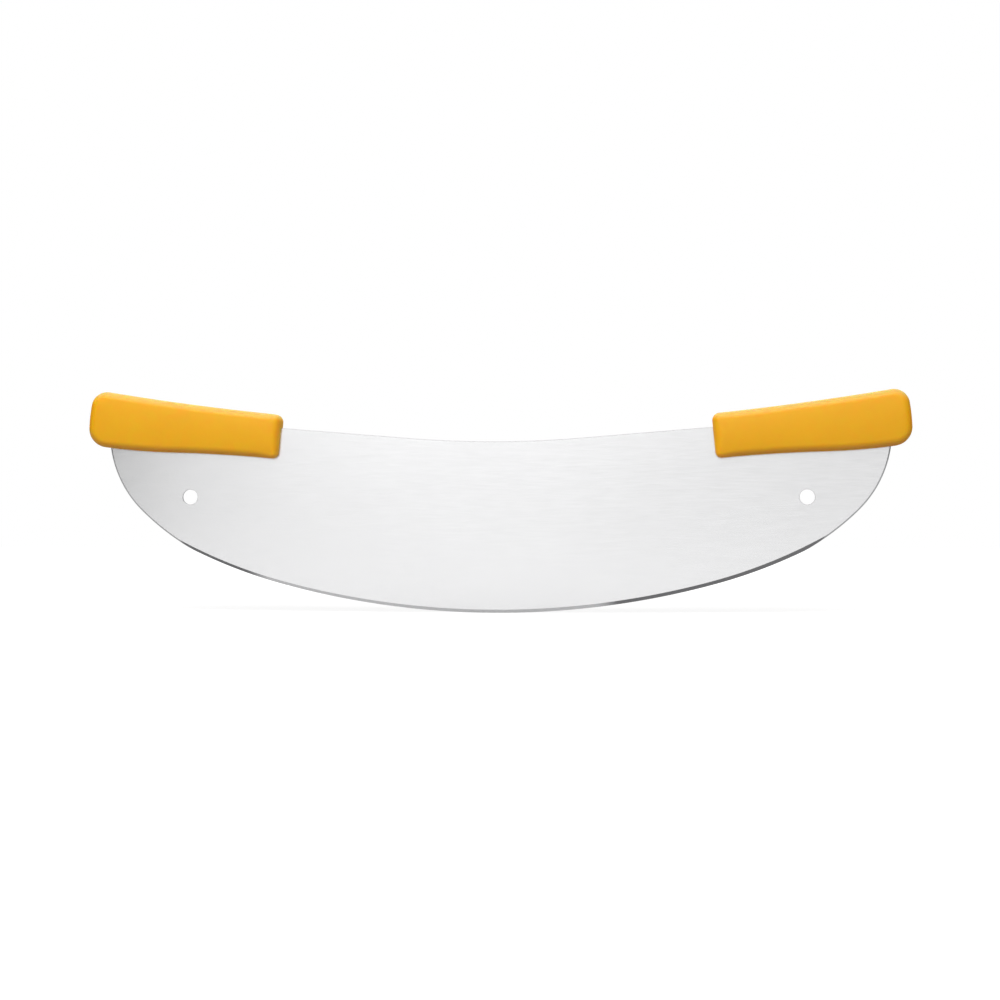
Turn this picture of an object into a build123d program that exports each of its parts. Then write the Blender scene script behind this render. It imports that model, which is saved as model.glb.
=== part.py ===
from build123d import *
import os
from math import degrees, radians, sin

# Rocking pizza knife, a long curved blade with a handle moulded over each end.
# The origin is the lowest point of the cutting edge, at mid length and mid thickness.
# X runs along the blade, Y through its thickness and Z up towards the handles.
# Lengths are in millimetres and angles in degrees.

# Stainless sheet
blade_thickness = 2.0
edge_break = 0.6

# Cutting edge from mid length outwards, each arc tangent to the one before
belly_radius = 514.0
belly_angle = 15.0
shoulder_radius = 313.0
shoulder_angle = 7.5
quarter_radius = 157.0
quarter_angle = 22.1

# Grinding takes the edge in by the setback, so the unground ends meet it at a slight corner
grind_setback = 0.6
bevel_width = 2.0
edge_land = 0.15
grind_run_angle = 20.0

# Back of the blade, a shallow arc between two straight slopes that go on into the tangs
back_height = 105.7
back_radius = 660.0
back_angle = 4.6

# Outer end of each tang, a rounded corner above a short straight
tang_corner_radius = 5.0
end_straight = 6.2

# Holes through which the knife hangs
hang_hole_diameter = 9.4
hang_hole_inset = 50.9
hang_hole_height = 71.5

# Holes through each tang, which the plastic of the handle fills
anchor_hole_diameter = 8.0
anchor_hole_count = 3
anchor_inset = 18.0
anchor_depth = 9.5
moulding_gap = 0.05

# Handle seen from the side, tilted up towards its outer end
grip_tilt = 5.8
grip_length = 120.0
grip_inner_depth = 27.5
grip_top_radius = 1750.0
finger_radius = 870.0
finger_angle = 4.3
swell_radius = 420.0
butt_radius = 120.0
inner_corner_radius = 3.8
top_corner_radius = 9.8
bottom_corner_radius = 11.5

# Handle round the tang
butt_wall = 11.9
tang_rise = 3.3
handle_thickness = 20.0
rim_radius = 5.0

# How far a cutting shape runs past what it cuts
overrun = 1.0


# Half outline of the stamped sheet, then the whole sheet by symmetry
with BuildSketch(Plane.XZ) as sheet_outline:
    with BuildLine():
        belly = JernArc((0, -grind_setback), (1, 0), belly_radius + grind_setback, belly_angle)
        shoulder = JernArc(belly @ 1, belly % 1, shoulder_radius + grind_setback, shoulder_angle)
        quarter = JernArc(shoulder @ 1, shoulder % 1, quarter_radius, quarter_angle)
        back = JernArc((0, back_height), (1, 0), back_radius, back_angle)
        # The last arc turns square to the slope, a short straight below the tang's corner
        end_angle = 90 + back_angle - belly_angle - shoulder_angle - quarter_angle
        end_rise = (back @ 1 - quarter @ 1).dot((back % 1).rotate(Axis.Z, 90)) - end_straight
        end_radius = end_rise / sin(radians(end_angle))
        end = JernArc(quarter @ 1, quarter % 1, end_radius, end_angle)
        tang_reach = (end @ 1 - back @ 1).dot(back % 1)
        tang_top = PolarLine(back @ 1, tang_reach, back_angle)
        Line(tang_top @ 1, end @ 1)
        Line(back @ 0, belly @ 0)
    make_face()
    tang_corner = tang_top @ 1
    fillet(sheet_outline.vertices().sort_by_distance(tang_corner)[0], tang_corner_radius)
    with Locations(((end @ 1).X - hang_hole_inset, hang_hole_height)):
        Circle(hang_hole_diameter / 2, mode=Mode.SUBTRACT)
    tang_cover = grip_length - butt_wall
    anchor_spacing = (tang_cover - 2 * anchor_inset) / (anchor_hole_count - 1)
    anchors = [(-anchor_inset - i * anchor_spacing, -anchor_depth) for i in range(anchor_hole_count)]
    with Locations(Location(tang_corner, (0, 0, back_angle))):
        with Locations(*anchors):
            Circle(anchor_hole_diameter / 2, mode=Mode.SUBTRACT)
    mirror(about=Plane.YZ)


# The tang as the handle sees it, larger all round by the moulding gap
with BuildSketch(Plane.XZ) as pocket_outline:
    add(sheet_outline.sketch_local)
    offset(amount=moulding_gap)


def stamped_sheet(outline):
    """A sheet of the blade's thickness with its outer edges broken on both faces."""
    with BuildPart() as sheet:
        with BuildSketch(Plane.XZ):
            add(outline.sketch_local)
        extrude(amount=blade_thickness / 2, both=True)
        rims = [edge for face in sheet.faces().filter_by(Axis.Y) for edge in face.outer_wire().edges()]
        chamfer(rims, edge_break)
    return sheet.part


# What the grinding wheels take away on one side of mid length, and its mirror image
with BuildPart() as grinding:
    with BuildLine(Plane.XZ) as ground_edge:
        ground_belly = JernArc((0, 0), (1, 0), belly_radius, belly_angle)
        JernArc(ground_belly @ 1, ground_belly % 1, shoulder_radius, grind_run_angle)
    with BuildSketch(Plane.YZ) as wheel_section:
        half_land = edge_land / 2
        bevel_run = blade_thickness / 2 - half_land
        wheel_reach = bevel_run + overrun
        wheel_rise = bevel_width * wheel_reach / bevel_run
        wheel_drop = grind_setback + overrun
        with BuildLine():
            Polyline(
                (0, 0),
                (half_land, 0),
                (half_land + wheel_reach, wheel_rise),
                (half_land + wheel_reach, -wheel_drop),
                (0, -wheel_drop),
                close=True,
            )
        make_face()
        mirror(about=Plane.YZ)
    sweep(path=ground_edge.wire())
    mirror(about=Plane.YZ)


with BuildPart() as blade:
    add(stamped_sheet(sheet_outline))
    add(grinding.part, mode=Mode.SUBTRACT)


# The handle's own plane has its origin at the inner end, on the grip's axis
along_grip = Vector(1, 0, 0).rotate(Axis.Y, -grip_tilt)
across_grip = Vector(0, 0, 1).rotate(Axis.Y, -grip_tilt)
tang_tip = Plane.XZ.from_local_coords(tang_corner)
grip_origin = tang_tip - along_grip * tang_cover - across_grip * tang_rise
grip_plane = Plane(grip_origin, x_dir=along_grip, z_dir=Plane.XZ.z_dir)

with BuildPart() as handle_right:
    # Side outline, with a hollow for the fingers and a swell before the butt
    with BuildSketch(grip_plane) as side_outline:
        with BuildLine():
            inner_end = Line((0, -grip_inner_depth / 2), (0, grip_inner_depth / 2))
            past_butt = grip_length + overrun
            top = JernArc(inner_end @ 1, (1, 0), grip_top_radius, degrees(past_butt / grip_top_radius))
            finger = JernArc(inner_end @ 0, (1, 0), finger_radius, -finger_angle)
            swell_length = past_butt - (finger @ 1).X
            swell = JernArc(finger @ 1, finger % 1, swell_radius, degrees(swell_length / swell_radius))
            Line(top @ 1, swell @ 1)
        make_face()
        with Locations(Location((grip_length - butt_radius, 0), (0, 0, 180))):
            Circle(butt_radius, mode=Mode.INTERSECT)
        fillet(side_outline.vertices().sort_by_distance(top @ 1)[0], top_corner_radius)
        fillet(side_outline.vertices().sort_by_distance(swell @ 1)[0], bottom_corner_radius)
        fillet(side_outline.vertices().sort_by(Axis.X)[:2], inner_corner_radius)
    extrude(amount=handle_thickness / 2, both=True)
    cheeks = handle_right.faces().sort_by(Axis.Y)
    fillet(cheeks[0].edges() + cheeks[-1].edges(), rim_radius)
    add(stamped_sheet(pocket_outline), mode=Mode.SUBTRACT)

with BuildPart() as handle_left:
    mirror(handle_right.part, about=Plane.YZ)


os.makedirs("parts", exist_ok=True)
blade.part.label = "blade"
handle_right.part.label = "handle_right"
handle_left.part.label = "handle_left"
for piece in (blade, handle_right, handle_left):
    export_step(piece.part, f"parts/{piece.part.label}.step")
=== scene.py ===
import math
from typing import NamedTuple

import bmesh
import bpy
from bpy.props import FloatProperty, FloatVectorProperty, IntProperty, PointerProperty
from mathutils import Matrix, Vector


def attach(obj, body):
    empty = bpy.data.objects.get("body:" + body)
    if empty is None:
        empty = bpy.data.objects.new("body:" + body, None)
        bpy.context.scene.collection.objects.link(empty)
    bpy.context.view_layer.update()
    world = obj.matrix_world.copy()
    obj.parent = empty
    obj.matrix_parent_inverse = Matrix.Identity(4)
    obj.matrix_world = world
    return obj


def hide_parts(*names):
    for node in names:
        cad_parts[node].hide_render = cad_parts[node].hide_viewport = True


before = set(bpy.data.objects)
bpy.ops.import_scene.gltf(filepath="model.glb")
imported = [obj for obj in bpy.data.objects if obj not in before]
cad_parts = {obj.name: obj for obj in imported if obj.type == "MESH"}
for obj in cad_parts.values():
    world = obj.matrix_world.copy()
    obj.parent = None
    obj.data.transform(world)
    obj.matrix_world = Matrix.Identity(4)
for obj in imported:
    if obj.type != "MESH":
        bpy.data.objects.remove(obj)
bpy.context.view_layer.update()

bl_info = {
    "name": "Rocking Pizza Knife",
    "version": (1, 0, 0),
    "blender": (4, 5, 0),
    "location": "View3D > Sidebar > Pizza Knife",
    "description": "A long curved blade with a moulded handle over each end, on a pale floor",
    "category": "Add Mesh",
}

# Lengths are in metres. The origin is the lowest point of the cutting edge, at mid length and mid
# thickness. X runs along the blade, Y away from the viewer of its front and Z up.
MM = 0.001


# Sizes and colours

class BladeSettings(bpy.types.PropertyGroup):
    thickness: FloatProperty(
        name="Thickness", description="Thickness of the stainless sheet",
        default=2.0 * MM, unit="LENGTH")
    edge_break: FloatProperty(
        name="Edge break", description="Depth of the broken corner round the sheet",
        default=0.6 * MM, unit="LENGTH")
    edge_roll: FloatProperty(
        name="Edge roll", description="Width of the broken corner, seen from the side",
        default=0.9 * MM, unit="LENGTH")
    back_break: FloatProperty(
        name="Back break", description="Width and depth of the broken corner along the back",
        default=0.16 * MM, unit="LENGTH")
    belly_radius: FloatProperty(
        name="Belly radius", description="Radius of the cutting edge at mid length",
        default=514.0 * MM, unit="LENGTH")
    belly_angle: FloatProperty(
        name="Belly angle", description="How far the belly arc turns on each side of mid length",
        default=math.radians(15.0), subtype="ANGLE", unit="ROTATION")
    shoulder_radius: FloatProperty(
        name="Shoulder radius", description="Radius of the cutting edge beyond the belly",
        default=313.0 * MM, unit="LENGTH")
    shoulder_angle: FloatProperty(
        name="Shoulder angle", description="How far the shoulder arc turns",
        default=math.radians(7.5), subtype="ANGLE", unit="ROTATION")
    quarter_radius: FloatProperty(
        name="Quarter radius", description="Radius of the sheet where the grind fades out",
        default=157.0 * MM, unit="LENGTH")
    quarter_angle: FloatProperty(
        name="Quarter angle", description="How far the quarter arc turns",
        default=math.radians(22.1), subtype="ANGLE", unit="ROTATION")
    end_straight: FloatProperty(
        name="End straight", description="Straight piece of the tang's end, above the last arc",
        default=6.2 * MM, unit="LENGTH")
    grind_setback: FloatProperty(
        name="Grind setback", description="How far grinding takes the edge in",
        default=0.6 * MM, unit="LENGTH")
    bevel_width: FloatProperty(
        name="Bevel width", description="Width of the ground bevel on each face",
        default=2.0 * MM, unit="LENGTH")
    grind_drift: FloatProperty(
        name="Grind drift", description="Share by which the bevel is wider at the right end",
        default=0.2, subtype="FACTOR")
    edge_land: FloatProperty(
        name="Edge land", description="Thickness left at the cutting edge",
        default=0.15 * MM, unit="LENGTH")
    back_height: FloatProperty(
        name="Back height", description="Height of the back above the edge at mid length",
        default=105.7 * MM, unit="LENGTH")
    back_radius: FloatProperty(
        name="Back radius", description="Radius of the hollow back",
        default=660.0 * MM, unit="LENGTH")
    back_angle: FloatProperty(
        name="Back angle", description="Slope of the back where it goes on into the tang",
        default=math.radians(4.6), subtype="ANGLE", unit="ROTATION")
    tang_corner_radius: FloatProperty(
        name="Tang corner radius", description="Radius of the tang's outer corner",
        default=5.0 * MM, unit="LENGTH")
    hang_hole_diameter: FloatProperty(
        name="Hang hole", description="Diameter of the holes through which the knife hangs",
        default=9.4 * MM, unit="LENGTH")
    hang_hole_inset: FloatProperty(
        name="Hang hole inset",
        description="Distance of the hang holes from the ends of the sheet",
        default=50.9 * MM, unit="LENGTH")
    hang_hole_height: FloatProperty(
        name="Hang hole height", description="Height of the hang holes above the edge",
        default=71.5 * MM, unit="LENGTH")
    hole_break: FloatProperty(
        name="Hole break", description="Width of the broken corner round each hole",
        default=0.12 * MM, unit="LENGTH")
    anchor_hole_diameter: FloatProperty(
        name="Anchor hole", description="Diameter of the holes through each tang",
        default=8.0 * MM, unit="LENGTH")
    anchor_hole_count: IntProperty(
        name="Anchor holes", description="Number of holes through each tang",
        default=3, min=2, subtype="UNSIGNED")
    anchor_inset: FloatProperty(
        name="Anchor inset",
        description="Distance of the first and last anchor holes from the ends of the tang",
        default=18.0 * MM, unit="LENGTH")
    anchor_depth: FloatProperty(
        name="Anchor depth", description="Distance of the anchor holes below the tang's top",
        default=9.5 * MM, unit="LENGTH")
    steel_color: FloatVectorProperty(
        name="Steel", description="Colour of the satin sheet",
        default=(0.637, 0.637, 0.642), subtype="COLOR")
    rim_color: FloatVectorProperty(
        name="Rim", description="Colour of the sheared rims and hole walls",
        default=(0.29, 0.29, 0.294), subtype="COLOR")
    # The ground bevel's own darker finish, drawn darker still as a painted reflection of the dark
    # round the knife
    ground_color: FloatVectorProperty(
        name="Ground edge", description="Colour of the ground bevel",
        default=(0.118, 0.118, 0.121), subtype="COLOR")
    # Painted reflection: between its start and end the bevel is drawn bright, as if it reflected
    # the light, not worn
    painted_reflection_color: FloatVectorProperty(
        name="Painted reflection", description="Colour of the bevel where it is worn bright",
        default=(0.385, 0.385, 0.39), subtype="COLOR")
    painted_reflection_start: FloatProperty(
        name="Reflection start",
        description="Where the bright part of the bevel starts, from mid length",
        default=-140.0 * MM, unit="LENGTH")
    painted_reflection_end: FloatProperty(
        name="Reflection end", description="Where the bright part of the bevel ends, from mid length",
        default=62.0 * MM, unit="LENGTH")
    painted_reflection_fade: FloatProperty(
        name="Reflection fade", description="Length over which the bright part of the bevel fades out",
        default=16.0 * MM, unit="LENGTH")


class HandleSettings(bpy.types.PropertyGroup):
    tilt: FloatProperty(
        name="Tilt", description="How far each handle rises towards its outer end",
        default=math.radians(5.8), subtype="ANGLE", unit="ROTATION")
    length: FloatProperty(
        name="Length", description="Length of a handle along its axis",
        default=120.0 * MM, unit="LENGTH")
    inner_depth: FloatProperty(
        name="Inner depth", description="Depth of a handle at its inner end",
        default=27.5 * MM, unit="LENGTH")
    top_radius: FloatProperty(
        name="Top radius", description="Radius of the long hollow of the top",
        default=1750.0 * MM, unit="LENGTH")
    finger_radius: FloatProperty(
        name="Finger radius", description="Radius of the underside below the fingers",
        default=870.0 * MM, unit="LENGTH")
    finger_angle: FloatProperty(
        name="Finger angle", description="How far the underside turns below the fingers",
        default=math.radians(4.3), subtype="ANGLE", unit="ROTATION")
    swell_radius: FloatProperty(
        name="Swell radius", description="Radius of the swell before the butt",
        default=420.0 * MM, unit="LENGTH")
    butt_radius: FloatProperty(
        name="Butt radius", description="Radius of the outer end seen from the side",
        default=120.0 * MM, unit="LENGTH")
    low_inner_radius: FloatProperty(
        name="Low inner radius", description="Radius of the lower corner at the inner end",
        default=3.8 * MM, unit="LENGTH")
    top_inner_radius: FloatProperty(
        name="Top inner radius", description="Radius of the upper corner at the inner end",
        default=4.8 * MM, unit="LENGTH")
    top_corner_radius: FloatProperty(
        name="Top corner radius", description="Radius of the upper corner of the butt",
        default=9.8 * MM, unit="LENGTH")
    bottom_corner_radius: FloatProperty(
        name="Bottom corner radius", description="Radius of the lower corner of the butt",
        default=11.5 * MM, unit="LENGTH")
    butt_wall: FloatProperty(
        name="Butt wall", description="Plastic beyond the end of the tang",
        default=11.9 * MM, unit="LENGTH")
    tang_rise: FloatProperty(
        name="Tang rise", description="Height of the tang's top corner above the handle's axis",
        default=3.3 * MM, unit="LENGTH")
    thickness: FloatProperty(
        name="Thickness", description="Thickness of a handle",
        default=20.0 * MM, unit="LENGTH")
    crown: FloatProperty(
        name="Crown", description="How far each cheek swells out between its rims",
        default=1.1 * MM, unit="LENGTH")
    rim_radius: FloatProperty(
        name="Rim radius", description="Rounding between cheek and edge",
        default=5.0 * MM, unit="LENGTH")
    corner_rim_margin: FloatProperty(
        name="Corner rim margin", description="How much smaller the rim is than an inner corner",
        default=0.6 * MM, unit="LENGTH")
    plastic_color: FloatVectorProperty(
        name="Plastic", description="Colour of the moulded plastic",
        default=(0.80, 0.415, 0.001), subtype="COLOR")
    # Painted highlight: the plastic along the top is drawn paler where the light falls on it, not
    # worn
    painted_highlight_color: FloatVectorProperty(
        name="Painted highlight", description="Colour of the plastic along the top, paler from wear",
        default=(0.65, 0.455, 0.11), subtype="COLOR")
    # Painted shade: the plastic along the underside is drawn deeper, where less light reaches it
    painted_underside_shade_color: FloatVectorProperty(
        name="Painted underside shade", description="Colour of the plastic along the underside, deeper than the rest",
        default=(0.63, 0.265, 0.006), subtype="COLOR")
    # Painted shade: the plastic on the ends, which face away from the light, is drawn deeper
    painted_end_shade_color: FloatVectorProperty(
        name="Painted end shade", description="Colour of the plastic on the ends of a handle",
        default=(0.75, 0.345, 0.004), subtype="COLOR")


class StudioSettings(bpy.types.PropertyGroup):
    camera_distance: FloatProperty(
        name="Camera distance", description="Distance of the camera from the knife",
        default=1.5, unit="LENGTH")
    camera_yaw: FloatProperty(
        name="Camera yaw", description="How far the camera stands to the right of square",
        default=math.radians(5.37), subtype="ANGLE", unit="ROTATION")
    camera_height: FloatProperty(
        name="Camera height", description="Height of the camera above the floor",
        default=69.1 * MM, unit="LENGTH")
    focal_pixels: FloatProperty(
        name="Focal length", description="Focal length in pixels of the frame",
        default=2430.0, subtype="PIXEL")
    ambient: FloatProperty(
        name="Ambient", description="Strength of the plain soft light from all round",
        default=0.45, subtype="FACTOR")
    floor_color: FloatVectorProperty(
        name="Floor", description="Colour of the floor",
        default=(0.36, 0.36, 0.36), subtype="COLOR")
    floor_size: FloatProperty(
        name="Floor size", description="Width of the floor",
        default=4.0, unit="LENGTH")
    near_lift: FloatProperty(
        name="Near lift",
        description="How far the floor is lifted to white where the knife stands",
        default=0.66, subtype="FACTOR")
    open_lift: FloatProperty(
        name="Open lift", description="How far the floor is lifted to white in the open",
        default=0.91, subtype="FACTOR")


# Outlines

def heading(angle):
    """Unit vector at an angle anticlockwise from the first axis."""
    return Vector((math.cos(angle), math.sin(angle)))


def left_of(angle):
    """Unit vector a quarter turn to the left of the heading at an angle."""
    return Vector((-math.sin(angle), math.cos(angle)))


def arc_stations(centre, radius, start, stop, step):
    """Points along an arc with the normal into the outline. A backward arc is a hollow one."""
    count = max(2, math.ceil(abs(stop - start) * radius / step))
    inward = -1 if stop > start else 1
    for i in range(count):
        radial = heading(start + (stop - start) * i / count)
        yield centre + radial * radius, radial * inward


def line_stations(start, stop, step):
    """Points along a straight run of the outline, with the normal to its left."""
    run = stop - start
    count = max(1, math.ceil(run.length / step))
    along = run.normalized()
    for i in range(count):
        yield start + run * i / count, Vector((-along.y, along.x))


class SheetOutline:
    """The right half of the stamped sheet, as arcs that each start where the one before ends."""

    def __init__(self, blade):
        self.along_tang = heading(blade.back_angle)
        self.across_tang = left_of(blade.back_angle)
        back_start = Vector((0, blade.back_height))
        self.back_centre = back_start + Vector((0, blade.back_radius))
        self.back_end = self.back_centre - self.across_tang * blade.back_radius
        setback = blade.grind_setback
        self.arcs = []
        point = Vector((0, -setback))
        turned = 0.0
        for radius, sweep in (
            (blade.belly_radius + setback, blade.belly_angle),
            (blade.shoulder_radius + setback, blade.shoulder_angle),
            (blade.quarter_radius, blade.quarter_angle),
        ):
            point, turned = self.add_arc(point, turned, radius, sweep)
        # The last arc turns square to the slope of the back, a short straight below the corner
        end_sweep = math.pi / 2 + blade.back_angle - turned
        rise = (self.back_end - point).dot(self.across_tang) - blade.end_straight
        point, turned = self.add_arc(point, turned, rise / math.sin(end_sweep), end_sweep)
        reach = (point - self.back_end).dot(self.along_tang)
        self.tang_corner = self.back_end + self.along_tang * reach
        self.end_point = point

    def add_arc(self, point, turned, radius, sweep):
        """Adds an arc that goes on from a point. Gives where it ends and how far it has turned."""
        centre = point + left_of(turned) * radius
        self.arcs.append((centre, radius, turned, turned + sweep))
        return centre - left_of(turned + sweep) * radius, turned + sweep

    def stations(self, blade, step, fine_step):
        """Anticlockwise from the lowest point round to the middle of the back."""
        quarter_turn = math.pi / 2
        for centre, radius, start, stop in self.arcs:
            yield from arc_stations(
                centre, radius, start - quarter_turn, stop - quarter_turn, step)
        corner = blade.tang_corner_radius
        corner_start = self.tang_corner - self.across_tang * corner
        yield from line_stations(self.end_point, corner_start, fine_step)
        corner_centre = corner_start - self.along_tang * corner
        slope = blade.back_angle
        yield from arc_stations(corner_centre, corner, slope, slope + quarter_turn, fine_step)
        slope_start = self.tang_corner - self.along_tang * corner
        yield from line_stations(slope_start, self.back_end, step)
        yield from arc_stations(
            self.back_centre, blade.back_radius, slope - quarter_turn, -quarter_turn, step)
        yield Vector((0, blade.back_height)), Vector((0, -1))

    def anchor_holes(self, blade, cover):
        """Centres of the holes that the plastic fills, in a row below the tang's top."""
        spacing = (cover - 2 * blade.anchor_inset) / (blade.anchor_hole_count - 1)
        for i in range(blade.anchor_hole_count):
            inset = blade.anchor_inset + i * spacing
            top = self.tang_corner - self.along_tang * inset
            yield top - self.across_tang * blade.anchor_depth


def ground_edge_distance(blade, point):
    """How far outside the ground cutting edge a point of the sheet's outline lies."""
    belly_centre = Vector((0, blade.belly_radius))
    shoulder_centre = belly_centre - left_of(blade.belly_angle) * (
        blade.belly_radius - blade.shoulder_radius)
    near = Vector((abs(point.x), point.y))
    if near.x < blade.belly_radius * math.sin(blade.belly_angle):
        return (near - belly_centre).length - blade.belly_radius
    return (near - shoulder_centre).length - blade.shoulder_radius


# The ridge stays clear of the rows on both sides of it by the break's depth over this number
SLIVER_PARTS = 30


def edge_section(blade, outside, bevel_width, break_depth, break_width):
    """Inset and half thickness of the rim, the ridge between break and bevel, and the flat."""
    half = blade.thickness / 2
    land = blade.edge_land / 2
    roll = break_depth / break_width
    steepness = (half - land) / bevel_width
    start = max(0.0, outside)
    flat = max(break_width, outside + bevel_width)
    ridge = (land - steepness * outside - half + break_depth) / (roll - steepness)
    sliver = break_depth / SLIVER_PARTS
    ridge = min(max(ridge, start + sliver), flat - sliver)

    def half_thickness(inset):
        broken = half - break_depth + roll * inset
        ground = land + steepness * (inset - outside)
        return min(half, broken, ground)

    return [(start, half_thickness(start)), (ridge, half_thickness(ridge)), (flat, half)]


# Mesh helpers

SIDES = (-1, 1)


def new_object(name, data):
    """A new object in the scene that holds a mesh, lamp or camera."""
    obj = bpy.data.objects.new(name, data)
    bpy.context.scene.collection.objects.link(obj)
    return obj


def finish_mesh(bm, name, sharp_angle=math.pi):
    """Smooth-shaded mesh data from the working mesh, creased where faces meet more sharply."""
    mesh = bpy.data.meshes.new(name)
    bm.normal_update()
    bm.to_mesh(mesh)
    bm.free()
    mesh.shade_smooth()
    mesh.set_sharp_from_angle(angle=sharp_angle)
    return mesh


def bridge(bm, lower, upper, slots=None):
    """Faces between two closed rings of as many vertices, each in its material slot."""
    count = len(lower)
    for i in range(count):
        j = (i + 1) % count
        face = bm.faces.new((lower[i], lower[j], upper[j], upper[i]))
        face.material_index = slots[i] if slots else 0


def ring(bm, points, depth):
    """A ring of vertices in a plane parallel to the blade."""
    return [bm.verts.new((p.x, depth, p.y)) for p in points]


def circle(centre, radius, segments):
    """Points round a circle."""
    return [centre + heading(math.tau * i / segments) * radius for i in range(segments)]


# Blade

# Material slots, in the order in which the blade takes its materials
SHEET, BEVEL, RIM = 0, 1, 2

# Distance between stations on long curves and on tight ones, and sides of a round hole
OUTLINE_STEP = 2.0 * MM
FINE_STEP = 0.5 * MM
HOLE_SEGMENTS = 64

# The back is where the way into the sheet points down more steeply than this
BACK_FACING = -0.9

# Where no wheel reaches, the ground edge counts as this many bevel widths outside the sheet
CLEAR_OF_WHEEL = 2

BLADE_CREASE = math.radians(15)


def edge_sections(blade, outline, loop):
    """The section at each station, and the slots of its broken corner and of its bevel."""
    sections, break_slots, bevel_slots = [], [], []
    for point, inward in loop:
        bevel_width = blade.bevel_width * (1 + blade.grind_drift * point.x / outline.end_point.x)
        outside = -bevel_width * CLEAR_OF_WHEEL
        if point.y < outline.end_point.y and inward.y > 0:
            outside = max(outside, ground_edge_distance(blade, point))
        corner = (blade.edge_break, blade.edge_roll)
        if inward.y < BACK_FACING:
            corner = (blade.back_break, blade.back_break)
        sections.append(edge_section(blade, outside, bevel_width, *corner))
        break_slots.append(BEVEL if outside > 0 else RIM)
        bevel_slots.append(BEVEL if outside > -bevel_width else RIM)
    return sections, break_slots, bevel_slots


def blade_holes(blade, outline, cover):
    """Centre and radius of the hang hole and then of the anchor holes, for each end in turn."""
    for sign in SIDES:
        hang_x = sign * (outline.end_point.x - blade.hang_hole_inset)
        yield Vector((hang_x, blade.hang_hole_height)), blade.hang_hole_diameter / 2
        for centre in outline.anchor_holes(blade, cover):
            yield Vector((sign * centre.x, centre.y)), blade.anchor_hole_diameter / 2


def pierce(bm, blade, centre, radius):
    """The wall and broken corners of one hole. Gives its rims on the front and the back."""
    half = blade.thickness / 2
    mouth = radius + blade.hole_break
    rings = []
    for depth, size in (
        (-half, mouth),
        (-half + blade.hole_break, radius),
        (half - blade.hole_break, radius),
        (half, mouth),
    ):
        rings.append(ring(bm, circle(centre, size, HOLE_SEGMENTS), depth))
    for lower, upper in zip(rings, rings[1:]):
        bridge(bm, upper, lower, [RIM] * HOLE_SEGMENTS)
    return rings[0], rings[-1]


def fill_flat(bm, rings, side):
    """The flat face of the sheet on one side, between its outline and its holes."""
    edges = []
    for closed in rings:
        for a, b in zip(closed, closed[1:] + closed[:1]):
            edges.append(bm.edges.get((a, b)) or bm.edges.new((a, b)))
    filled = bmesh.ops.triangle_fill(
        bm, use_beauty=True, use_dissolve=False, edges=edges, normal=(0, side, 0))
    for face in filled["geom"]:
        if isinstance(face, bmesh.types.BMFace):
            face.material_index = SHEET
            face.normal_update()
            if face.normal.y * side < 0:
                face.normal_flip()


def build_blade(blade, cover):
    """The stamped sheet with its double bevel, which fades out towards the unground ends."""
    outline = SheetOutline(blade)
    half = list(outline.stations(blade, OUTLINE_STEP, FINE_STEP))
    mirrored = [(Vector((-p.x, p.y)), Vector((-n.x, n.y))) for p, n in reversed(half[1:-1])]
    loop = half + mirrored
    sections, break_slots, bevel_slots = edge_sections(blade, outline, loop)

    bm = bmesh.new()
    rows = {}
    for side in SIDES:
        rows[side] = [
            [bm.verts.new((p.x + n.x * inset, side * depth, p.y + n.y * inset))
             for (p, n), (inset, depth) in zip(loop, row)]
            for row in zip(*sections)
        ]
    bridge(bm, rows[1][0], rows[-1][0], break_slots)
    for side in SIDES:
        rim, ridge, flat = rows[side]
        bridge(bm, rim, ridge, break_slots)
        bridge(bm, ridge, flat, bevel_slots)
    hole_rims = [pierce(bm, blade, *hole) for hole in blade_holes(blade, outline, cover)]
    for side, rims in zip(SIDES, zip(*hole_rims)):
        fill_flat(bm, [rows[side][-1], *rims], side)
    bmesh.ops.recalc_face_normals(bm, faces=bm.faces)
    return new_object("blade_sheet", finish_mesh(bm, "blade_sheet", BLADE_CREASE))


# Handles

def outer_meeting(centre_a, radius_a, centre_b, radius_b):
    """Where two circles meet, nearest the butt."""
    between = centre_b - centre_a
    distance = between.length
    along = (radius_a ** 2 - radius_b ** 2 + distance ** 2) / (2 * distance)
    across = math.sqrt(radius_a ** 2 - along ** 2)
    unit = between / distance
    foot = centre_a + unit * along
    side = Vector((-unit.y, unit.x)) * across
    return max(foot + side, foot - side, key=lambda p: p.x)


def angle_of(vector):
    """Angle of a vector, from nothing to a full turn."""
    return math.atan2(vector.y, vector.x) % math.tau


def lower_arc(centre, radius, x):
    """Height of the bottom of a circle at x."""
    return centre.y - math.sqrt(radius ** 2 - (x - centre.x) ** 2)


def upper_arc(centre, radius, x):
    """Height of the top of a circle at x."""
    return centre.y + math.sqrt(radius ** 2 - (x - centre.x) ** 2)


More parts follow.
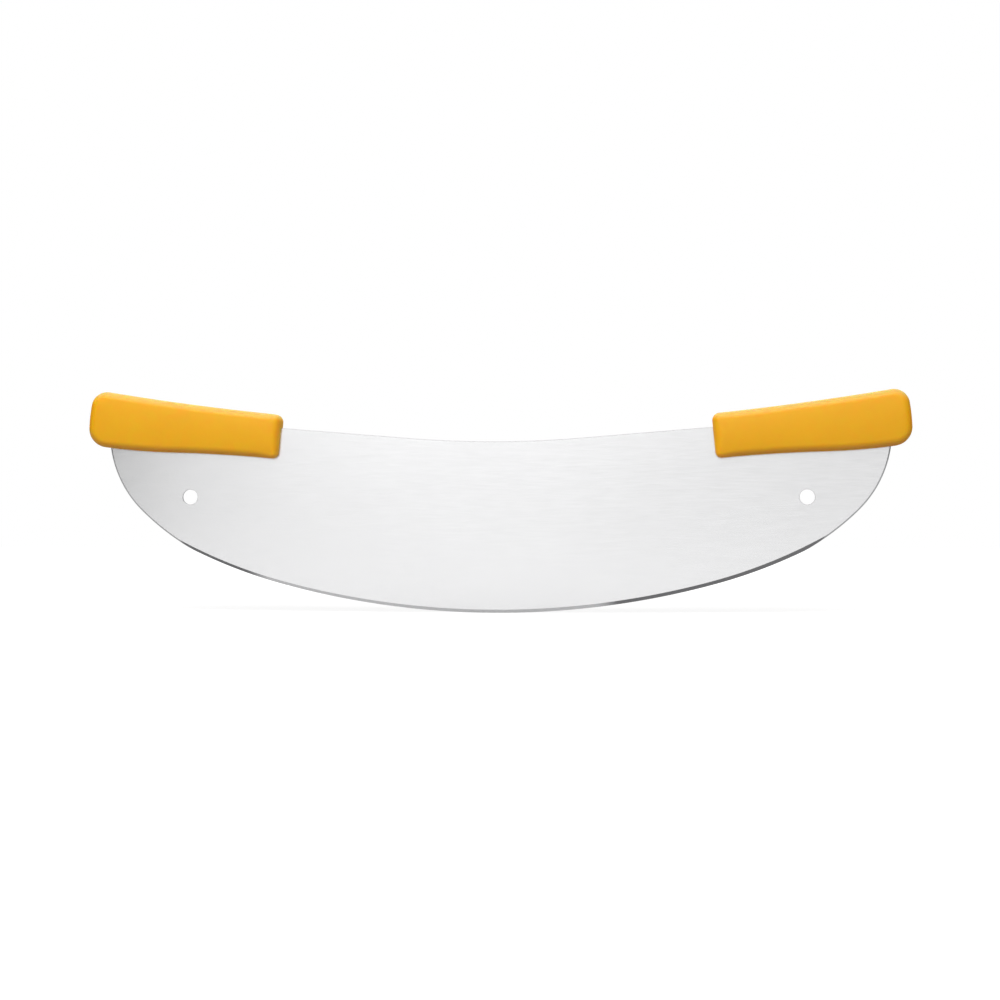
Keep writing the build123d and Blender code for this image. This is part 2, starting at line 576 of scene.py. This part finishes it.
class GripOutline:
    """A grip seen from the side in its own frame, with its inner end on the vertical axis."""

    def __init__(self, handle):
        self.handle = handle
        half = handle.inner_depth / 2
        self.top = Vector((0, half + handle.top_radius))
        self.finger = Vector((0, -half - handle.finger_radius))
        self.finger_stop = math.pi / 2 - handle.finger_angle
        self.finger_end = self.finger + heading(self.finger_stop) * handle.finger_radius
        self.swell = self.finger_end + left_of(-handle.finger_angle) * handle.swell_radius
        self.butt = Vector((handle.length - handle.butt_radius, 0))
        low, high = handle.bottom_corner_radius, handle.top_corner_radius
        low_inner, top_inner = handle.low_inner_radius, handle.top_inner_radius
        self.low_corner = outer_meeting(
            self.swell, handle.swell_radius - low, self.butt, handle.butt_radius - low)
        self.high_corner = outer_meeting(
            self.butt, handle.butt_radius - high, self.top, handle.top_radius + high)
        self.top_inner = Vector((
            top_inner, lower_arc(self.top, handle.top_radius + top_inner, top_inner)))
        self.low_inner = Vector((
            low_inner, upper_arc(self.finger, handle.finger_radius + low_inner, low_inner)))

    def limits(self, x):
        """Heights of the underside and the top at x, as if the corners were square."""
        handle = self.handle
        if x < self.finger_end.x:
            low = upper_arc(self.finger, handle.finger_radius, x)
        else:
            low = lower_arc(self.swell, handle.swell_radius, x)
        return low, lower_arc(self.top, handle.top_radius, x)

    def stations(self, step, fine_step):
        """Anticlockwise from the inner end's lower corner, with inward normals."""
        handle = self.handle
        half_turn = math.pi
        low, high = handle.bottom_corner_radius, handle.top_corner_radius
        yield from arc_stations(
            self.finger, handle.finger_radius,
            angle_of(self.low_inner - self.finger), self.finger_stop, step)
        swell_start = half_turn * 3 / 2 - handle.finger_angle
        swell_stop = angle_of(self.low_corner - self.swell)
        yield from arc_stations(self.swell, handle.swell_radius, swell_start, swell_stop, step)
        low_butt = angle_of(self.low_corner - self.butt)
        high_butt = angle_of(self.high_corner - self.butt)
        yield from arc_stations(self.low_corner, low, swell_stop, low_butt, fine_step)
        yield from arc_stations(
            self.butt, handle.butt_radius, low_butt - math.tau, high_butt, step)
        high_stop = angle_of(self.top - self.high_corner)
        yield from arc_stations(self.high_corner, high, high_butt, high_stop, fine_step)
        yield from arc_stations(
            self.top, handle.top_radius,
            angle_of(self.high_corner - self.top), angle_of(self.top_inner - self.top), step)
        yield from arc_stations(
            self.top_inner, handle.top_inner_radius,
            angle_of(self.top - self.top_inner), half_turn, fine_step)
        yield from line_stations(
            Vector((0, self.top_inner.y)), Vector((0, self.low_inner.y)), step)
        yield from arc_stations(
            self.low_inner, handle.low_inner_radius,
            half_turn, angle_of(self.finger - self.low_inner), fine_step)


def smooth(value):
    """Eases a value from zero to one, and holds it there on both sides."""
    value = min(max(value, 0.0), 1.0)
    return value * value * (3 - 2 * value)


# Strips of faces over the rim, and from there over the cheek to its spine
RIM_STEPS = 9
CROWN_STEPS = 6

# How far the spine of a cheek stays from the inner and the outer end
SPINE_INNER = 13.0 * MM
SPINE_OUTER = 17.0 * MM

# Length over which the rim grows from an inner corner to its full radius
RIM_BLEND = 14.0 * MM

HANDLE_CREASE = math.radians(40)
MERGE_DISTANCE = 1e-6


def grip_rows(grip, stations):
    """Rows of (point, half thickness) from the edge of the grip over the rim to its spine."""
    handle = grip.handle
    half = handle.thickness / 2

    def cheek(point):
        """Half thickness of the crowned cheek, and how fast it falls away from the spine."""
        low, high = grip.limits(point.x)
        reach = (high - low) / 2
        share = (point.y - (low + high) / 2) / reach
        return half - handle.crown * share ** 2, 2 * handle.crown * share / reach

    rows = [[] for _ in range(RIM_STEPS + CROWN_STEPS + 1)]
    for point, inward in stations:
        from_corner = max(point.x / RIM_BLEND, 1 - abs(point.y) * 2 / handle.inner_depth)
        corner = handle.top_inner_radius if point.y > 0 else handle.low_inner_radius
        corner_rim = corner - handle.corner_rim_margin
        rim = corner_rim + (handle.rim_radius - corner_rim) * smooth(from_corner)
        _, fall = cheek(point + inward * rim)
        turn = math.pi / 2 - math.atan(abs(fall * inward.y))
        shoulder = point + inward * rim * (1 - math.cos(turn))
        depth, _ = cheek(shoulder)
        wall = depth - rim * math.sin(turn)
        for k in range(RIM_STEPS + 1):
            angle = turn * k / RIM_STEPS
            inset = rim * (1 - math.cos(angle))
            rows[k].append((point + inward * inset, wall + rim * math.sin(angle)))
        spine_x = min(max(point.x, SPINE_INNER), handle.length - SPINE_OUTER)
        spine = Vector((spine_x, sum(grip.limits(spine_x)) / 2))
        for k in range(1, CROWN_STEPS + 1):
            place = shoulder + (spine - shoulder) * k / CROWN_STEPS
            rows[RIM_STEPS + k].append((place, cheek(place)[0]))
    return rows


def build_handle(name, handle, outline, sign):
    """One moulded handle: rounded rims, crowned cheeks, a swell before the butt."""
    grip = GripOutline(handle)
    rows = grip_rows(grip, list(grip.stations(OUTLINE_STEP, FINE_STEP)))
    along = heading(handle.tilt)
    across = left_of(handle.tilt)
    cover = handle.length - handle.butt_wall
    origin = outline.tang_corner - along * cover - across * handle.tang_rise
    bm = bmesh.new()

    def lay(row, side):
        """Vertices of one row, turned and moved from the grip's own frame to its place."""
        verts = []
        for point, depth in row:
            place = origin + along * point.x + across * point.y
            verts.append(bm.verts.new((sign * place.x, side * depth, place.y)))
        return verts

    sides = {side: [lay(row, side) for row in rows] for side in SIDES}
    bridge(bm, sides[1][0], sides[-1][0])
    for side in SIDES:
        for lower, upper in zip(sides[side], sides[side][1:]):
            bridge(bm, lower, upper)
    bmesh.ops.remove_doubles(bm, verts=bm.verts, dist=MERGE_DISTANCE)
    bmesh.ops.recalc_face_normals(bm, faces=bm.faces)
    return new_object(name, finish_mesh(bm, name, HANDLE_CREASE))


# Materials

class Finish(NamedTuple):
    """How the fine grain and the cloudy patches of a surface look.

    The grain is drawn out along an axis whose stretch is small. Tones and roughness run from
    their first value where the pattern is lowest to their second where it is highest.
    """
    stretch: tuple
    grain_scale: float
    patch_scale: float
    grain_tone: tuple
    patch_tone: tuple
    roughness: tuple
    bump_distance: float
    bump_strength: float


SATIN_FINISH = Finish(
    stretch=(0.06, 1.0, 1.0), grain_scale=1400.0, patch_scale=14.0,
    grain_tone=(0.96, 1.04), patch_tone=(0.975, 1.025), roughness=(0.19, 0.29),
    bump_distance=0.01 * MM, bump_strength=0.2)
SHEARED_FINISH = Finish(
    stretch=(1.0, 0.15, 1.0), grain_scale=1800.0, patch_scale=40.0,
    grain_tone=(0.85, 1.15), patch_tone=(0.93, 1.07), roughness=(0.28, 0.42),
    bump_distance=0.02 * MM, bump_strength=0.3)
GROUND_FINISH = Finish(
    stretch=(1.0, 1.0, 0.12), grain_scale=2200.0, patch_scale=9.0,
    grain_tone=(0.75, 1.25), patch_tone=(0.85, 1.15), roughness=(0.22, 0.40),
    bump_distance=0.02 * MM, bump_strength=0.4)
MOULDED_FINISH = Finish(
    stretch=(1.0, 1.0, 1.0), grain_scale=1500.0, patch_scale=30.0,
    grain_tone=(0.98, 1.02), patch_tone=(0.97, 1.03), roughness=(0.40, 0.48),
    bump_distance=0.03 * MM, bump_strength=0.3)

PLASTIC_VALUES = {
    "IOR": 1.45,
    "Specular IOR Level": 0.35,
    "Subsurface Weight": 0.8,
    "Subsurface Radius": (1.0, 0.25, 0.06),
    "Subsurface Scale": 5.0 * MM,
}

# Part of the plastic's normal along an axis at which each change starts and is complete
# The ends, top and underside changes are painted light: shade on the ends and underneath, a
# highlight on top
PAINTED_END_SHADE_LEAN = (0.35, 0.95)
PAINTED_HIGHLIGHT_LEAN = (0.15, 1.0)
PAINTED_UNDERSIDE_SHADE_LEAN = (-0.25, -1.0)
EDGES_LEAN = (0.75, 0.2)

# How many times rougher the plastic is at its edges than on its cheeks
EDGE_DULLNESS = 1.8

# Sockets of a mix node that hold colours, which share their names with its other sockets
MIX_FROM, MIX_TO, MIX_RESULT = 6, 7, 2


def feed(tree, made, inputs):
    """Sets a node's inputs, each to a value or by a link from the socket that feeds it."""
    for key, value in inputs.items():
        if isinstance(value, bpy.types.NodeSocket):
            tree.links.new(value, made.inputs[key])
        else:
            made.inputs[key].default_value = value


def node(tree, kind, inputs=None, **values):
    """A new node with its properties set and its inputs fed."""
    made = tree.nodes.new(kind)
    for key, value in values.items():
        setattr(made, key, value)
    feed(tree, made, inputs or {})
    return made


def arithmetic(tree, operation, *sources):
    """The result of an operation on one or two values."""
    made = node(tree, "ShaderNodeMath", dict(enumerate(sources)), operation=operation)
    return made.outputs["Value"]


def ramp(tree, source, low, high, start=0.0, stop=1.0, kind="LINEAR"):
    """Runs from low to high while the source goes from start to stop."""
    mapped = node(tree, "ShaderNodeMapRange", interpolation_type=kind, inputs={
        "Value": source, "From Min": start, "From Max": stop, "To Min": low, "To Max": high})
    return mapped.outputs["Result"]


def surface_axes(tree, output):
    """X, Y and Z of the object's own coordinates, or of its normal."""
    place = node(tree, "ShaderNodeTexCoord")
    return node(tree, "ShaderNodeSeparateXYZ", {"Vector": place.outputs[output]}).outputs


def tinted(tree, color, amount):
    """The colour, lighter or darker by the amount."""
    scaled = node(tree, "ShaderNodeVectorMath", operation="SCALE", inputs={
        0: color, "Scale": amount})
    return scaled.outputs["Vector"]


def blended(tree, share, first, second):
    """The first colour, moved towards the second by the share."""
    mixed = node(tree, "ShaderNodeMix", data_type="RGBA", inputs={
        "Factor": share, MIX_FROM: first, MIX_TO: second})
    return mixed.outputs[MIX_RESULT]


def toward(tree, source, color, lean, limits):
    """The source colour, moved towards another as the lean goes from one limit to the other."""
    share = ramp(tree, lean, 0.0, 1.0, *limits, "SMOOTHSTEP")
    return blended(tree, share, source, (*color, 1))


def drawn_grain_group():
    """Fine streaks and cloudy patches over a surface, shared by the steels and the plastic."""
    tree = bpy.data.node_groups.new("surface grain", "ShaderNodeTree")
    for name, kind, default in (
        ("Stretch", "NodeSocketVector", (1.0, 1.0, 1.0)),
        ("Grain Scale", "NodeSocketFloat", 900.0),
        ("Patch Scale", "NodeSocketFloat", 18.0),
    ):
        socket = tree.interface.new_socket(name=name, in_out="INPUT", socket_type=kind)
        socket.default_value = default
    for name in ("Grain", "Patches"):
        tree.interface.new_socket(name=name, in_out="OUTPUT", socket_type="NodeSocketFloat")
    given = node(tree, "NodeGroupInput").outputs
    place = node(tree, "ShaderNodeTexCoord").outputs["Object"]
    stretched = node(tree, "ShaderNodeVectorMath", operation="MULTIPLY", inputs={
        0: place, 1: given["Stretch"]})
    grain = node(tree, "ShaderNodeTexNoise", {
        "Vector": stretched.outputs["Vector"], "Scale": given["Grain Scale"],
        "Detail": 3.0, "Roughness": 0.6})
    patches = node(tree, "ShaderNodeTexNoise", {
        "Vector": place, "Scale": given["Patch Scale"], "Detail": 2.0, "Roughness": 0.5})
    node(tree, "NodeGroupOutput", {
        "Grain": grain.outputs["Fac"], "Patches": patches.outputs["Fac"]})
    return tree


def new_material(name):
    """A new material with its node tree and its shader."""
    material = bpy.data.materials.new(name)
    material.use_nodes = True
    tree = material.node_tree
    return material, tree, tree.nodes["Principled BSDF"]


def grained_material(name, group, finish):
    """A new material that the grain bumps, with the values of its grain, patches and tone."""
    material, tree, bsdf = new_material(name)
    placed = node(tree, "ShaderNodeGroup", node_tree=group, inputs={
        "Stretch": finish.stretch, "Grain Scale": finish.grain_scale,
        "Patch Scale": finish.patch_scale})
    grain, patches = placed.outputs["Grain"], placed.outputs["Patches"]
    tone = arithmetic(
        tree, "MULTIPLY",
        ramp(tree, grain, *finish.grain_tone), ramp(tree, patches, *finish.patch_tone))
    raised = node(tree, "ShaderNodeBump", {
        "Height": grain, "Distance": finish.bump_distance, "Strength": finish.bump_strength})
    feed(tree, bsdf, {"Normal": raised.outputs["Normal"]})
    return material, tree, bsdf, grain, patches, tone


def worked_metal(name, group, finish, colored):
    """A metal with the grain of its finish. What colours it is given its tree and its tone."""
    material, tree, bsdf, grain, _, tone = grained_material(name, group, finish)
    feed(tree, bsdf, {
        "Base Color": colored(tree, tone),
        "Metallic": 1.0,
        "Roughness": ramp(tree, grain, *finish.roughness),
    })
    return material


def satin_steel(group, color):
    """Stainless sheet with a fine satin grain along the blade."""
    return worked_metal(
        "satin steel", group, SATIN_FINISH, lambda tree, tone: tinted(tree, color, tone))


def sheared_rim(group, color):
    """The sheet's cut rims and hole walls, with the marks of the press across the thickness."""
    return worked_metal(
        "sheared rim", group, SHEARED_FINISH, lambda tree, tone: tinted(tree, color, tone))


def ground_steel(group, blade):
    """The bevel, with the coarser marks of the wheel across the edge and a painted reflection
    along a stretch.
    """
    def colored(tree, tone):
        along = surface_axes(tree, "Object")["X"]
        start, end, fade = blade.painted_reflection_start, blade.painted_reflection_end, blade.painted_reflection_fade
        # Painted reflection: bright along a stretch of the blade, dark beyond it
        rise = ramp(tree, along, 0.0, 1.0, start - fade, start, "SMOOTHSTEP")
        fall = ramp(tree, along, 1.0, 0.0, end, end + fade, "SMOOTHSTEP")
        ground = tinted(tree, blade.ground_color, tone)
        painted_bright_bevel = tinted(tree, blade.painted_reflection_color, tone)
        return blended(tree, arithmetic(tree, "MULTIPLY", rise, fall), ground, painted_bright_bevel)

    return worked_metal("ground steel", group, GROUND_FINISH, colored)


def moulded_plastic(group, handle):
    """Warm satin plastic: a painted highlight on top, painted shade below and at the ends, dull
    edges.
    """
    material, tree, bsdf, _, patches, tone = grained_material(
        "moulded plastic", group, MOULDED_FINISH)
    normal = surface_axes(tree, "Normal")
    endwise = arithmetic(tree, "ABSOLUTE", normal["X"])
    cheekwise = arithmetic(tree, "ABSOLUTE", normal["Y"])
    color = tinted(tree, handle.plastic_color, tone)
    # Painted shade on the ends
    color = toward(tree, color, handle.painted_end_shade_color, endwise, PAINTED_END_SHADE_LEAN)
    # Painted highlight along the top
    color = toward(tree, color, handle.painted_highlight_color, normal["Z"], PAINTED_HIGHLIGHT_LEAN)
    # Painted shade along the underside
    color = toward(tree, color, handle.painted_underside_shade_color, normal["Z"], PAINTED_UNDERSIDE_SHADE_LEAN)
    edges = ramp(tree, cheekwise, 0.0, 1.0, *EDGES_LEAN, "SMOOTHSTEP")
    dullness = ramp(tree, edges, 1.0, EDGE_DULLNESS)
    roughness = ramp(tree, patches, *MOULDED_FINISH.roughness)
    feed(tree, bsdf, {
        "Base Color": color,
        "Roughness": arithmetic(tree, "MULTIPLY", roughness, dullness),
        **PLASTIC_VALUES,
    })
    return material


# Stage

# The round patch of floor that holds the shadow, its reach along each axis, and the shares of
# that reach between which the floor goes from its near lift to its open lift
SHADOW_CENTRE = (0.0, 0.16, 0.0)
SHADOW_REACH = (0.60, 0.34, 1.0)
LIFT_LIMITS = (0.3, 1.0)

SEEN_RAYS = ("Is Camera Ray", "Is Glossy Ray", "Is Transmission Ray")
WHITE = (1, 1, 1, 1)
MATT_ROUGHNESS = 0.9

FLOOR_DIVISIONS = 8
FLAG_COLOR = (0.03, 0.03, 0.03, 1)
FLAG_HEIGHT = 0.5

# Name of each flag, and the two ends of its foot
FLAGS = (
    ("studio_flag_front", (-1.6, -1.0), (-0.51, -1.0)),
    ("studio_flag_left", (-0.9, -0.5), (-0.9, 0.7)),
    ("studio_flag_right", (0.9, -0.5), (0.9, 0.7)),
)

# Name of each softbox, its place, what it faces, its width and height, and its power in watts
SOFTBOXES = (
    ("overhead softbox", (0, -0.8, 1.5), (0, 0, 0.1), (2.2, 1.2), 12.0),
    ("near softbox", (-0.08, -0.55, 0.8), (-0.03, 0, 0.08), (0.6, 0.4), 4.0),
    ("rear softbox", (0, 1.8, 1.5), (0, 0, 0.1), (2.2, 0.8), 14.0),
    ("front softbox", (-0.36, -2.4, 0.7), (-0.36, 0, 0.07), (0.6, 1.5), 0.8),
    ("high front softbox", (-0.22, -2.3, 1.0), (-0.22, 0, 0.1), (1.0, 1.2), 9.0),
)

# Width of the frame in pixels and of the sensor in millimetres, and the pixel, from the upper
# left corner, that the camera looks straight along
FRAME_PIXELS = 1000
SENSOR_WIDTH = 36.0
PRINCIPAL_X = 495.25
PRINCIPAL_Y = 500.9


def seen_share(tree):
    """One for rays from the camera, straight, reflected or let through, and zero for the rest."""
    path = node(tree, "ShaderNodeLightPath").outputs
    share = path[SEEN_RAYS[0]]
    for ray in SEEN_RAYS[1:]:
        share = arithmetic(tree, "MAXIMUM", share, path[ray])
    return share


def studio_world(ambient):
    """White to the camera and in reflections, a plain soft grey as light."""
    world = bpy.data.worlds.new("studio")
    world.use_nodes = True
    tree = world.node_tree
    feed(tree, tree.nodes["Background"], {
        "Color": WHITE, "Strength": ramp(tree, seen_share(tree), ambient, 1.0)})
    bpy.context.scene.world = world


def floor_material(color, near_lift, open_lift):
    """Pale floor, lifted to white in the open and less near the knife, so its shadow stays."""
    material, tree, bsdf = new_material("studio floor")
    place = node(tree, "ShaderNodeTexCoord")
    shifted = node(tree, "ShaderNodeVectorMath", operation="SUBTRACT", inputs={
        0: place.outputs["Object"], 1: SHADOW_CENTRE})
    scaled = node(tree, "ShaderNodeVectorMath", operation="DIVIDE", inputs={
        0: shifted.outputs["Vector"], 1: SHADOW_REACH})
    away = node(tree, "ShaderNodeVectorMath", operation="LENGTH", inputs={
        0: scaled.outputs["Vector"]})
    lift = ramp(tree, away.outputs["Value"], near_lift, open_lift, *LIFT_LIMITS)
    feed(tree, bsdf, {
        "Base Color": (*color, 1),
        "Roughness": MATT_ROUGHNESS,
        "Specular IOR Level": 0.0,
        "Emission Color": WHITE,
        "Emission Strength": arithmetic(tree, "MULTIPLY", seen_share(tree), lift),
    })
    return material


def build_floor(size, material):
    """A wide floor that the cutting edge touches at its lowest point."""
    bm = bmesh.new()
    bmesh.ops.create_grid(
        bm, x_segments=FLOOR_DIVISIONS, y_segments=FLOOR_DIVISIONS, size=size / 2)
    floor = new_object("studio_floor", finish_mesh(bm, "studio_floor"))
    floor.data.materials.append(material)


def flag_material():
    """Matt black card."""
    material, tree, bsdf = new_material("studio flag")
    feed(tree, bsdf, {"Base Color": FLAG_COLOR, "Roughness": MATT_ROUGHNESS})
    return material


def build_flag(name, start, stop, material):
    """A dark upright card on the floor, seen only in reflections, where it draws the outlines."""
    bm = bmesh.new()
    corners = [(*start, 0), (*stop, 0), (*stop, FLAG_HEIGHT), (*start, FLAG_HEIGHT)]
    bm.faces.new([bm.verts.new(corner) for corner in corners])
    flag = new_object(name, finish_mesh(bm, name))
    flag.data.materials.append(material)
    flag.visible_camera = False
    flag.visible_diffuse = False
    flag.visible_shadow = False


def add_softbox(name, place, target, size, power):
    """A rectangular lamp that faces its target."""
    lamp = bpy.data.lights.new(name, "AREA")
    lamp.shape = "RECTANGLE"
    lamp.size, lamp.size_y = size
    lamp.energy = power
    obj = new_object(name, lamp)
    obj.location = place
    obj.rotation_mode = "QUATERNION"
    obj.rotation_quaternion = (Vector(target) - Vector(place)).to_track_quat("-Z", "Y")


def add_camera(studio):
    """Level camera a little to the right of square, with the knife where the photograph has it."""
    camera = bpy.data.cameras.new("camera")
    camera.sensor_width = SENSOR_WIDTH
    camera.lens = studio.focal_pixels / FRAME_PIXELS * SENSOR_WIDTH
    camera.shift_x = (FRAME_PIXELS / 2 - PRINCIPAL_X) / FRAME_PIXELS
    camera.shift_y = (PRINCIPAL_Y - FRAME_PIXELS / 2) / FRAME_PIXELS
    obj = new_object("camera", camera)
    distance, yaw = studio.camera_distance, studio.camera_yaw
    obj.location = (distance * math.sin(yaw), -distance * math.cos(yaw), studio.camera_height)
    obj.rotation_euler = (math.pi / 2, 0, yaw)
    bpy.context.scene.camera = obj


# Operators

def grain_group():
    """The one grain that all the materials share."""
    return bpy.data.node_groups.get("surface grain") or drawn_grain_group()


class PIZZAKNIFE_OT_blade(bpy.types.Operator):
    """Build the ground stainless blade in place of its plain solid"""
    bl_idname = "pizza_knife.blade"
    bl_label = "Blade"
    bl_options = {"REGISTER", "UNDO"}

    def execute(self, context):
        blade = context.scene.pizza_knife_blade
        handle = context.scene.pizza_knife_handle
        piece = build_blade(blade, handle.length - handle.butt_wall)
        piece.data.materials.append(satin_steel(grain_group(), blade.steel_color))
        piece.data.materials.append(ground_steel(grain_group(), blade))
        piece.data.materials.append(sheared_rim(grain_group(), blade.rim_color))
        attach(piece, "root")
        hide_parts("blade")
        return {"FINISHED"}


class PIZZAKNIFE_OT_handles(bpy.types.Operator):
    """Build the two moulded handles in place of their plain solids"""
    bl_idname = "pizza_knife.handles"
    bl_label = "Handles"
    bl_options = {"REGISTER", "UNDO"}

    def execute(self, context):
        handle = context.scene.pizza_knife_handle
        outline = SheetOutline(context.scene.pizza_knife_blade)
        plastic = moulded_plastic(grain_group(), handle)
        for cad_node, sign in (("handle_left", -1), ("handle_right", 1)):
            piece = build_handle(cad_node + "_moulding", handle, outline, sign)
            piece.data.materials.append(plastic)
            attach(piece, "root")
            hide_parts(cad_node)
        return {"FINISHED"}


class PIZZAKNIFE_OT_stage(bpy.types.Operator):
    """Set the pale floor, the soft studio light and the camera"""
    bl_idname = "pizza_knife.stage"
    bl_label = "Studio"
    bl_options = {"REGISTER", "UNDO"}

    def execute(self, context):
        studio = context.scene.pizza_knife_studio
        build_floor(
            studio.floor_size,
            floor_material(studio.floor_color, studio.near_lift, studio.open_lift))
        studio_world(studio.ambient)
        for softbox in SOFTBOXES:
            add_softbox(*softbox)
        card = flag_material()
        for flag in FLAGS:
            build_flag(*flag, card)
        add_camera(studio)
        context.scene.view_settings.view_transform = "Standard"
        return {"FINISHED"}


class PIZZAKNIFE_PT_panel(bpy.types.Panel):
    """Lists each operator above its own settings"""
    bl_idname = "PIZZAKNIFE_PT_panel"
    bl_label = "Pizza Knife"
    bl_space_type = "VIEW_3D"
    bl_region_type = "UI"
    bl_category = "Pizza Knife"

    def draw(self, context):
        layout = self.layout
        for operator, group in STEPS:
            settings = getattr(context.scene, group)
            box = layout.box()
            box.operator(operator)
            for key in settings.__annotations__:
                box.prop(settings, key)


STEPS = (
    ("pizza_knife.blade", "pizza_knife_blade"),
    ("pizza_knife.handles", "pizza_knife_handle"),
    ("pizza_knife.stage", "pizza_knife_studio"),
)
SETTINGS = {
    "pizza_knife_blade": BladeSettings,
    "pizza_knife_handle": HandleSettings,
    "pizza_knife_studio": StudioSettings,
}
CLASSES = (
    BladeSettings,
    HandleSettings,
    StudioSettings,
    PIZZAKNIFE_OT_blade,
    PIZZAKNIFE_OT_handles,
    PIZZAKNIFE_OT_stage,
    PIZZAKNIFE_PT_panel,
)


def register():
    for cls in CLASSES:
        bpy.utils.register_class(cls)
    for name, group in SETTINGS.items():
        setattr(bpy.types.Scene, name, PointerProperty(type=group))


def unregister():
    for name in SETTINGS:
        delattr(bpy.types.Scene, name)
    for cls in reversed(CLASSES):
        bpy.utils.unregister_class(cls)


def main():
    """Builds every piece in order."""
    register()
    bpy.ops.pizza_knife.blade()
    bpy.ops.pizza_knife.handles()
    bpy.ops.pizza_knife.stage()


if __name__ == "__main__":
    main()
